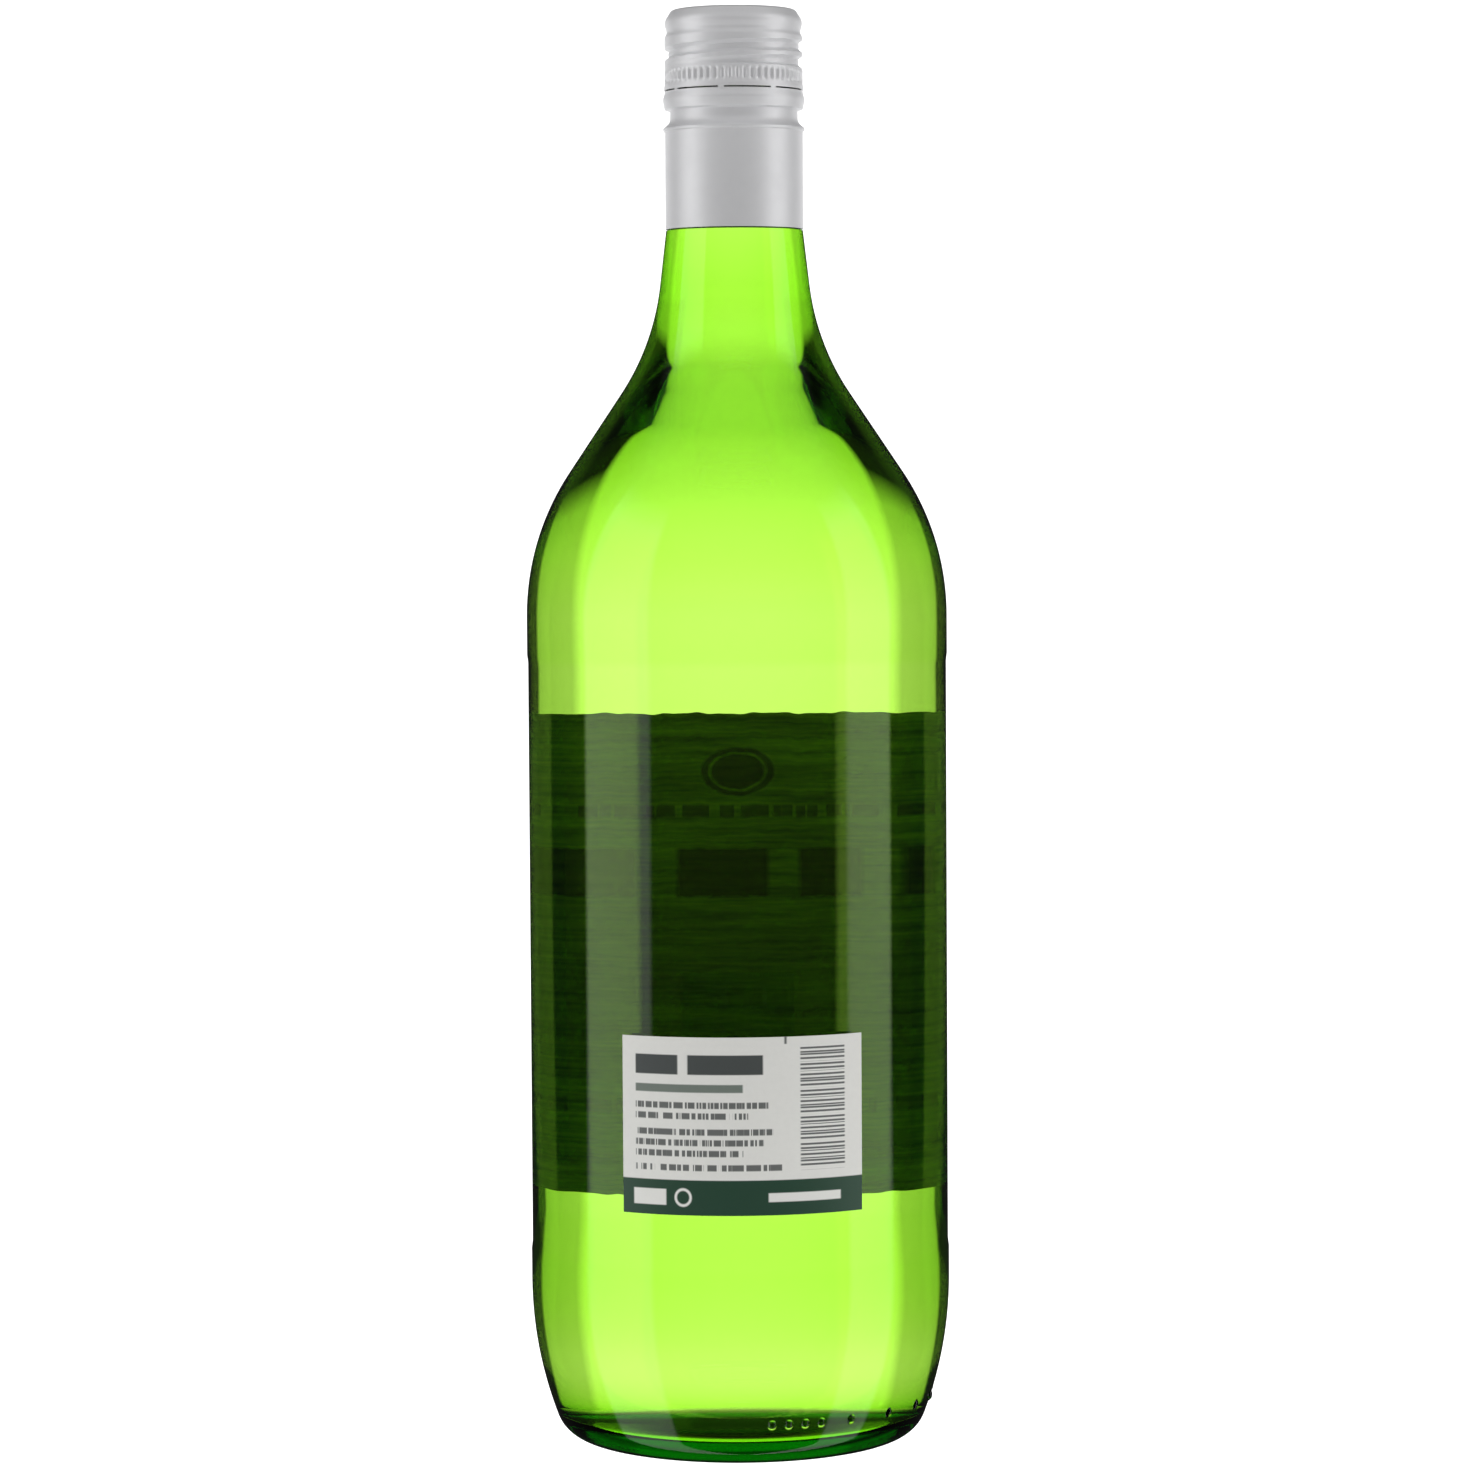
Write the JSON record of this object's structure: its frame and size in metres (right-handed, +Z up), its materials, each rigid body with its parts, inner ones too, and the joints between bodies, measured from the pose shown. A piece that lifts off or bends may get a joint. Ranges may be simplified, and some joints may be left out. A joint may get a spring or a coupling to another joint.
{
  "type": "wine bottle",
  "caption": "Round-shouldered clear green glass bottle full of white wine, with a long-skirt screw cap, a deckle-edged front label and a small back label.",
  "frame": {"origin": "centre of the bottle's base, on the surface it stands on", "axes": "+Z up along the bottle's axis, the front label towards +Y and the back label towards -Y"},
  "size_m": [0.0868, 0.0868, 0.2948],
  "materials": {
    "green_glass": "clear, smooth",
    "white_wine": "clear liquid",
    "painted_aluminium": "pale grey lacquer, semi-gloss",
    "dark_printed_paper": "printed, matte",
    "white_paper": "printed, matte"
  },
  "bodies": {
    "root": {"glass_bottle": "green_glass", "wine": "white_wine", "screw_cap": "painted_aluminium", "front_label": "dark_printed_paper", "back_label": "white_paper"}
  },
  "joints": []
}
